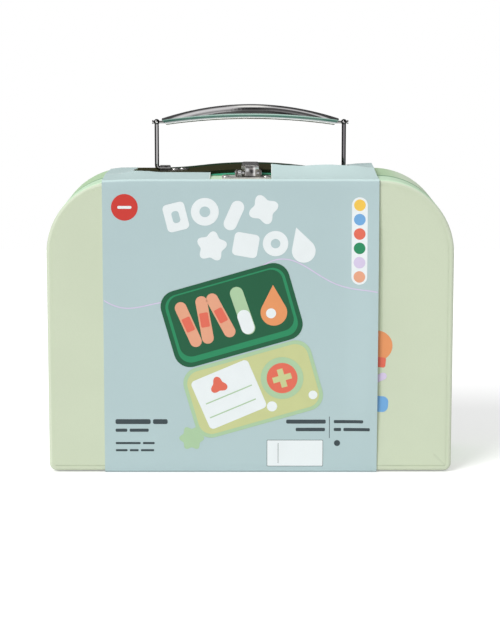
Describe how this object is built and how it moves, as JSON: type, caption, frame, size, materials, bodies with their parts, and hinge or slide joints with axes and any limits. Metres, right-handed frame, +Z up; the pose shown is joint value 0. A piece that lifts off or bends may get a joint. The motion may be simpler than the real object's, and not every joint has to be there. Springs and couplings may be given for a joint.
{
  "type": "toy doctor case",
  "caption": "Papered board toy case with a bottom hinge, folding plated handle, sprung latch and card sleeve, holding wooden doctor's tools in a pocketed insert.",
  "frame": {"origin": "on the ground under the middle of the standing case, midway between its sides and between its front and back", "axes": "+X to the right along the longest side, +Y from the lid at the front to the back, +Z up"},
  "size_m": [0.275, 0.0916, 0.2477],
  "materials": {
    "green_board": "pale green paper-covered board, matt",
    "green_paper": "pale green printed paper, matt",
    "lid_lining": "pale green-beige lining paper, matt",
    "emerald_paper": "emerald lining paper, matt",
    "emerald_board": "emerald paper-covered board, matt",
    "hinge_cloth": "pale green book cloth",
    "sleeve_card": "pale blue printed card, matt",
    "olive_panel": "dark olive paper-covered board, satin",
    "chrome": "plated, polished",
    "nickel": "nickel plated, polished",
    "spring_steel": "drawn wire",
    "insert_board": "emerald padded board, matt",
    "salmon_wood": "lacquered, salmon with black spots",
    "coral_wood": "lacquered, coral",
    "pale_wood": "lacquered, pale green",
    "dark_wood": "lacquered, near black",
    "emerald_wood": "lacquered, emerald",
    "orange_wood": "lacquered, orange",
    "label_paper": "printed paper, matt"
  },
  "bodies": {
    "base": {"base_panel": "green_board", "base_wall": "green_board", "base_facing": "green_paper", "base_lining": "emerald_paper", "base_collar": "emerald_board", "hinge_tape_base": "hinge_cloth", "sleeve_back": "sleeve_card", "handle_panel": "olive_panel", "handle_bracket_left": "nickel", "handle_bracket_right": "nickel", "handle_rivets": "nickel", "rivet_washers": "nickel", "latch_catch": "nickel", "catch_rivets": "nickel", "tool_insert": "insert_board", "scope_body": "salmon_wood", "scope_ring": "pale_wood", "scope_lens": "dark_wood", "syringe_barrel": "coral_wood", "syringe_flange": "pale_wood", "syringe_nozzle": "dark_wood", "hammer_shaft": "pale_wood", "hammer_head": "salmon_wood", "thermometer_body": "emerald_wood", "thermometer_scale": "label_paper", "thermometer_tip": "dark_wood", "bottle_body": "orange_wood", "bottle_cap": "coral_wood", "bottle_label": "label_paper"},
    "lid": {"lid_panel": "green_board", "lid_wall": "green_board", "lid_facing": "green_paper", "lid_lining": "lid_lining", "hinge_tape_lid": "hinge_cloth", "sleeve_front": "sleeve_card", "latch_plate": "nickel", "latch_pin": "nickel", "latch_spring": "spring_steel", "latch_rivets": "nickel"},
    "handle": {"handle_leg_left": "chrome", "handle_leg_right": "chrome", "grip_tray": "chrome", "grip_cap": "chrome", "grip_wires": "chrome"},
    "lever": {"latch_lever": "nickel"},
    "plunger": {"syringe_plunger": "coral_wood", "plunger_knob": "pale_wood"}
  },
  "joints": [
    {"name": "lid_hinge", "type": "hinge", "parent": "base", "child": "lid", "pos_m": [0, -0.013, 0], "axis": [1, 0, 0], "range_deg": [0, 176]},
    {"name": "handle_fold", "type": "hinge", "parent": "base", "child": "handle", "pos_m": [0, 0.016, 0.2032], "axis": [1, 0, 0], "range_deg": [-90, 68]},
    {"name": "latch_flip", "type": "hinge", "parent": "lid", "child": "lever", "pos_m": [0, -0.032, 0.2042], "axis": [1, 0, 0], "range_deg": [0, 88]},
    {"name": "plunger_slide", "type": "slide", "parent": "base", "child": "plunger", "axis": [0, 0, 1], "range_m": [0, 0.03]}
  ]
}
